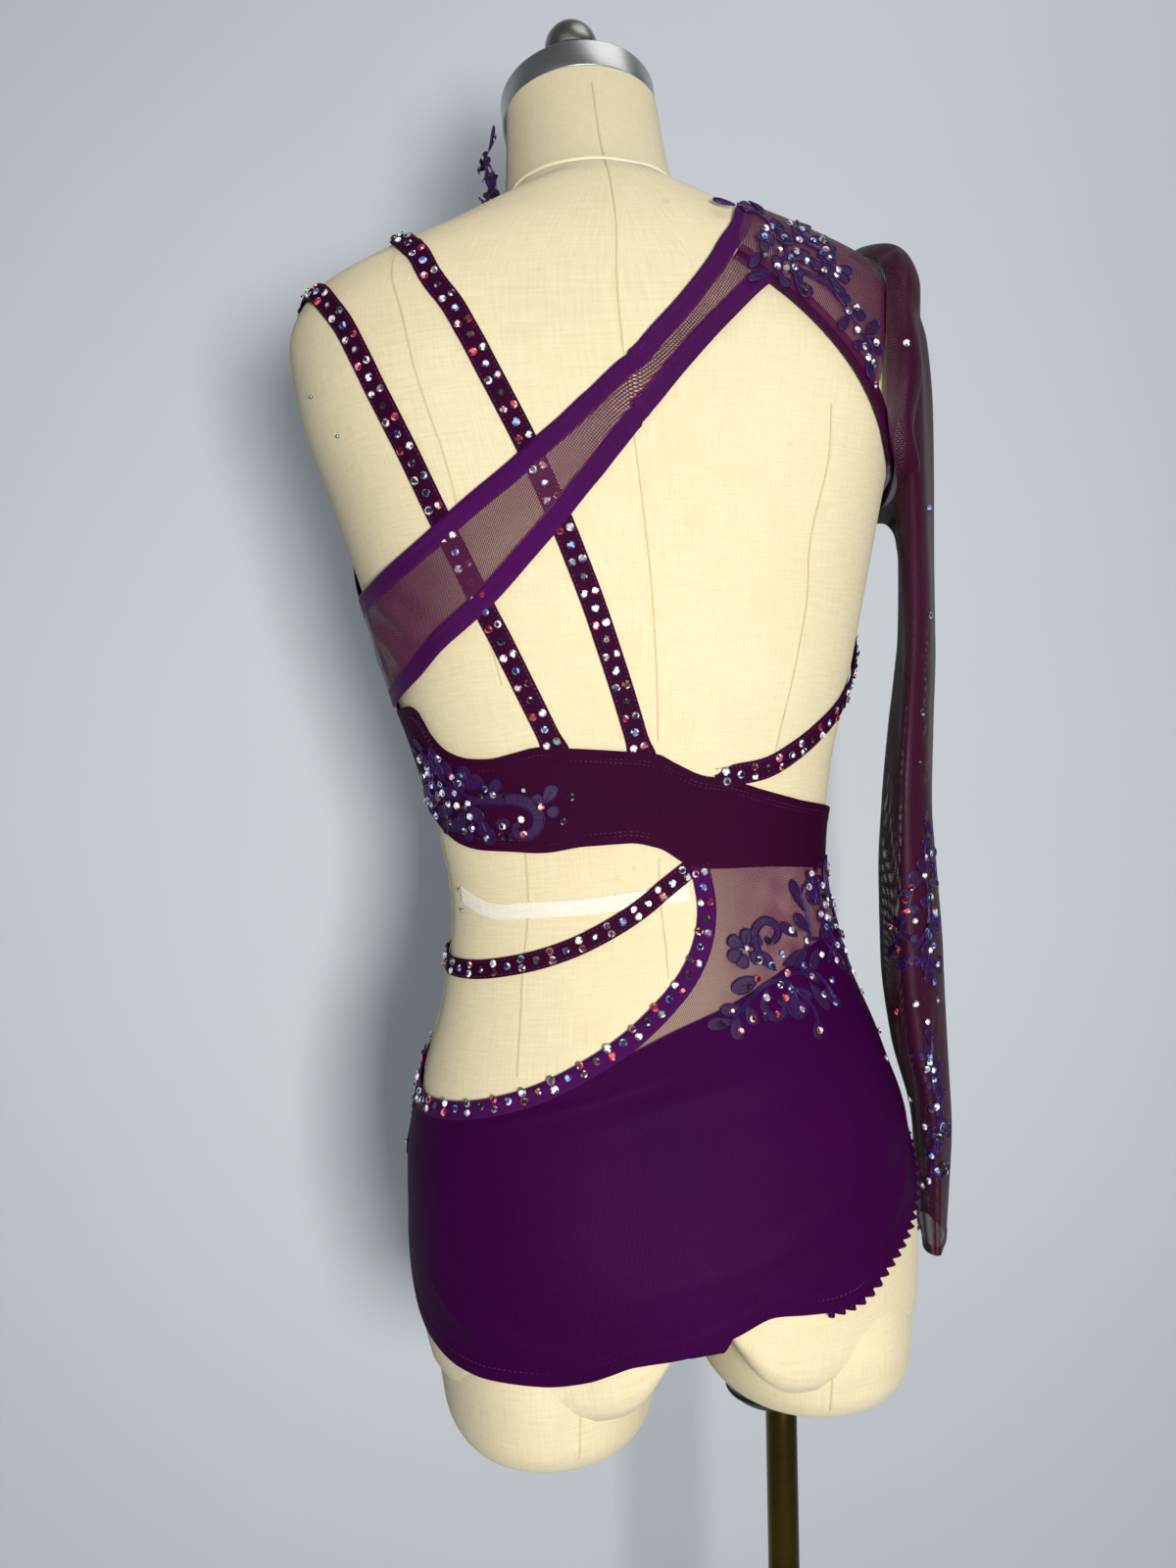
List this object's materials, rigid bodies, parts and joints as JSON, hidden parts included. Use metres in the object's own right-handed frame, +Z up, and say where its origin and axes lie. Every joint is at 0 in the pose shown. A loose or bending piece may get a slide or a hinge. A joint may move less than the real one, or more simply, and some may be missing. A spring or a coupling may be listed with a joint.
{
  "type": "contemporary dance costume on a dress form",
  "caption": "One-sleeved purple dance costume with a diagonal net band, strap back, bound cut-out and corded lace, on a limbless dress form with a pole stand.",
  "frame": {"origin": "centre of the base plate's underside, on the floor and on the pole's axis", "axes": "+Z up; +Y toward the costume's back; -X toward the wearer's right side, where the sleeve is"},
  "size_m": [0.5097, 0.44, 1.583],
  "materials": {
    "linen": "plain woven linen cover",
    "steel": "brushed round the cap",
    "brass": "dark lacquered tube",
    "dark": "dark enamel",
    "spandex": "matt stretch knit, deep purple",
    "plum": "matt stretch knit, plum",
    "satin": "shiny stretch binding, purple",
    "net": "fine stretch net, plum, see-through",
    "lace": "corded lace, violet blue, with small stones"
  },
  "bodies": {
    "root": {"form_body": "linen", "neck_cap": "steel", "neck_knob": "steel", "pole": "brass", "base_plate": "dark", "thigh_flange": "dark", "trunk_back": "spandex", "trunk_front": "spandex", "gusset": "spandex", "back_band": "plum", "bodice_front": "plum", "strap_outer": "plum", "strap_inner": "plum", "strap_side": "plum", "strap_waist": "plum", "neckline_binding": "satin", "sash_binding_lower": "satin", "armhole_binding": "satin", "hip_binding": "satin", "sash_mesh": "net", "shoulder_yoke": "net", "front_yoke": "net", "hip_mesh": "net", "sleeve": "net", "lace_shoulder": "lace", "lace_bust": "lace", "lace_hip": "lace", "lace_hip_left": "lace", "lace_neck": "lace", "lace_sleeve_upper": "lace", "lace_sleeve_lower": "lace"}
  },
  "joints": []
}
